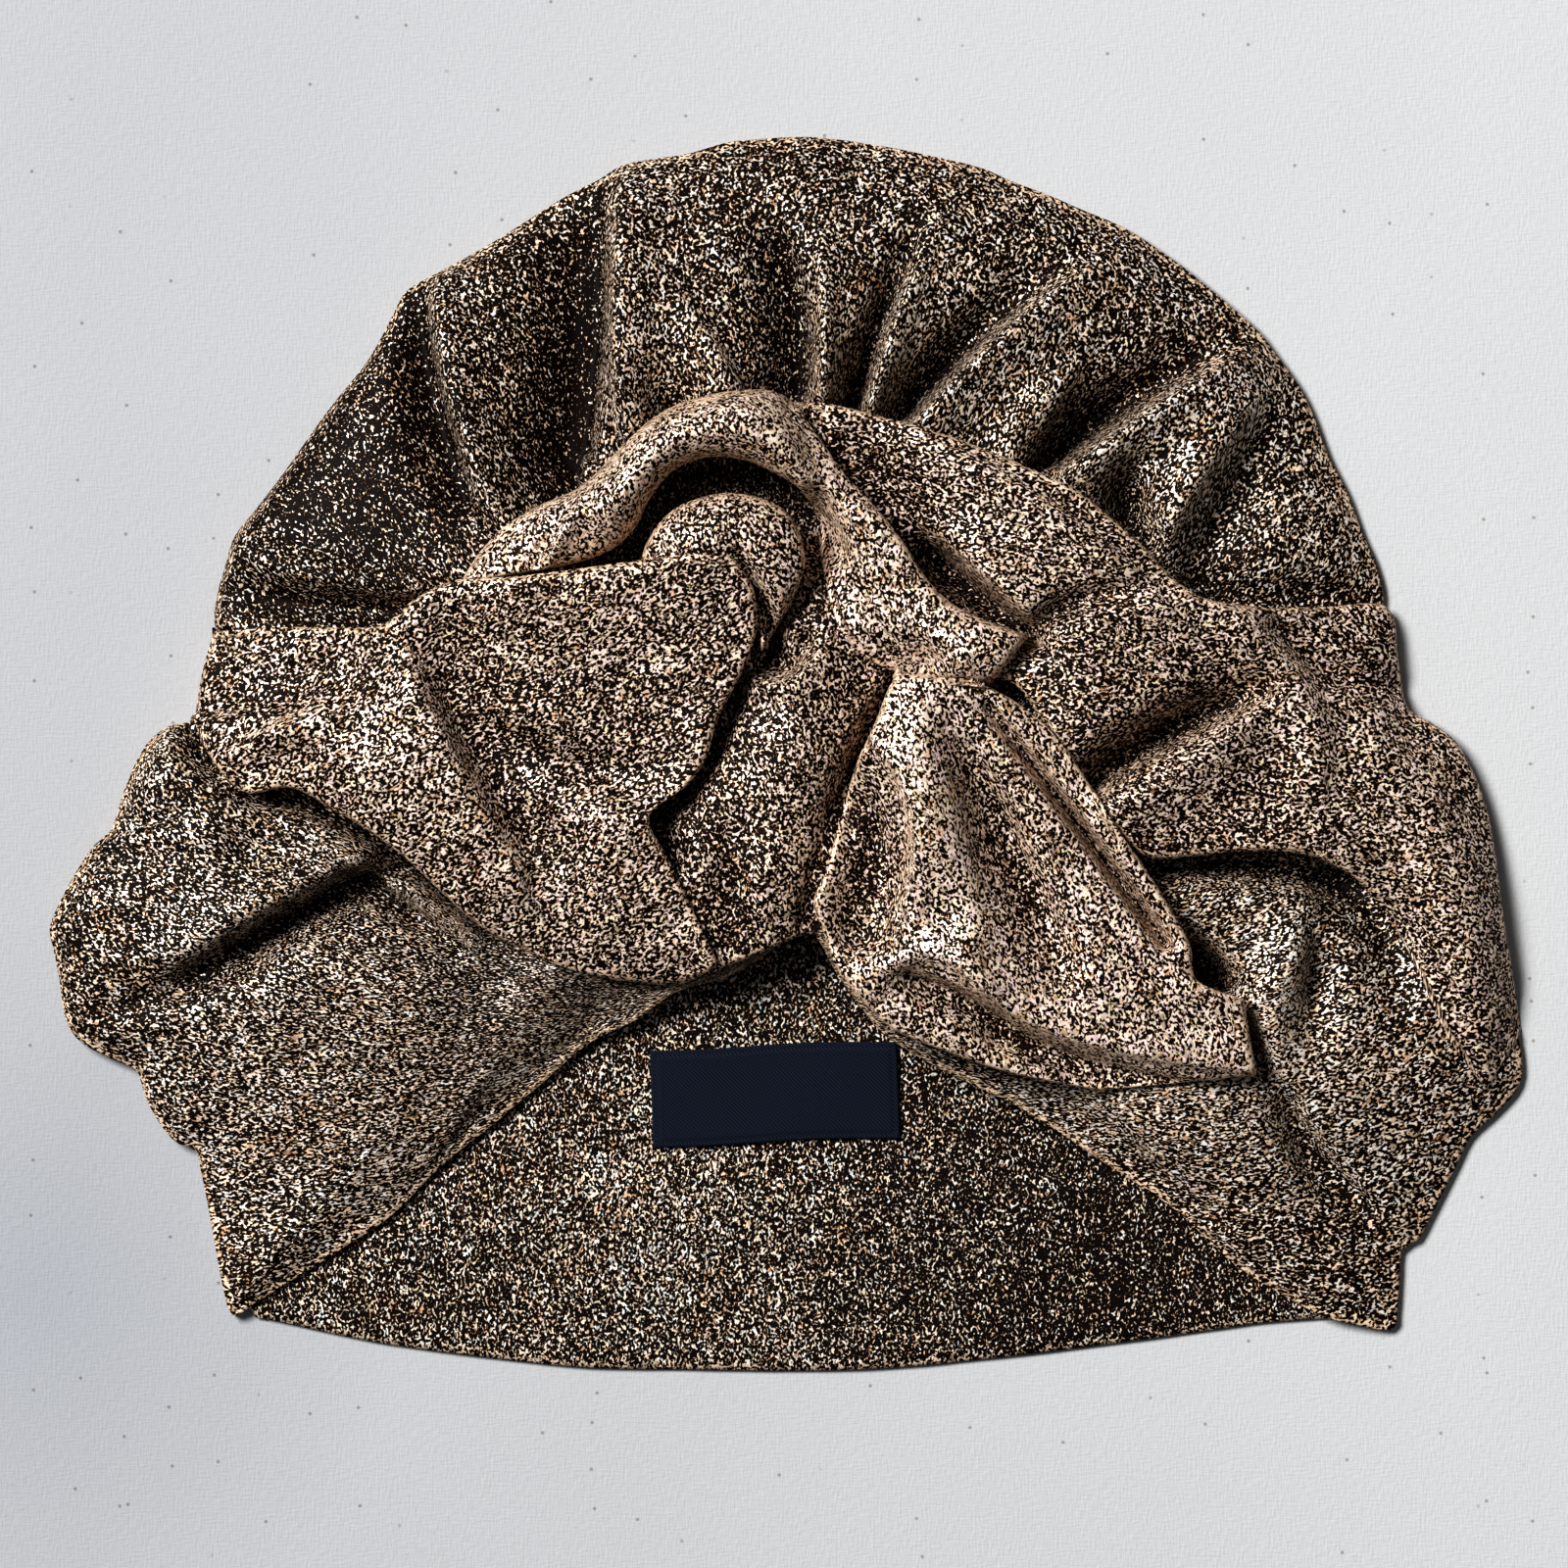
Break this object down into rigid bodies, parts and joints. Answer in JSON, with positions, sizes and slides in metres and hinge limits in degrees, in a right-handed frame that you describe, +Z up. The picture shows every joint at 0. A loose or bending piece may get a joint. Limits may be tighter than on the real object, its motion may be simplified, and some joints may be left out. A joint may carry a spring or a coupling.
{
  "type": "twist-front turban",
  "caption": "Pre-tied turban of metallic knit, lying flat with its front up: pleated crown, twisted knot with petal, arch and tail, open at the brim for the head.",
  "frame": {"origin": "middle of the outline, on the surface that the turban lies on", "axes": "+X across the turban, towards the tail; +Y towards the crown, away from the head opening; +Z up, off the surface"},
  "size_m": [0.33, 0.2769, 0.0356],
  "materials": {
    "metallic_knit": "near-black knit flecked with gold and cream metallic thread",
    "knit_inside": "inner face of the same metallic knit",
    "woven_label": "plain navy-black woven satin, edge stitched"
  },
  "bodies": {
    "root": {"back_panel": "knit_inside", "front_panel": "metallic_knit", "right_wrap": "metallic_knit", "upper_wrap": "metallic_knit", "knot_core": "metallic_knit", "centre_wrap": "metallic_knit", "left_wrap": "metallic_knit", "right_tail": "metallic_knit", "label": "woven_label"}
  },
  "joints": []
}
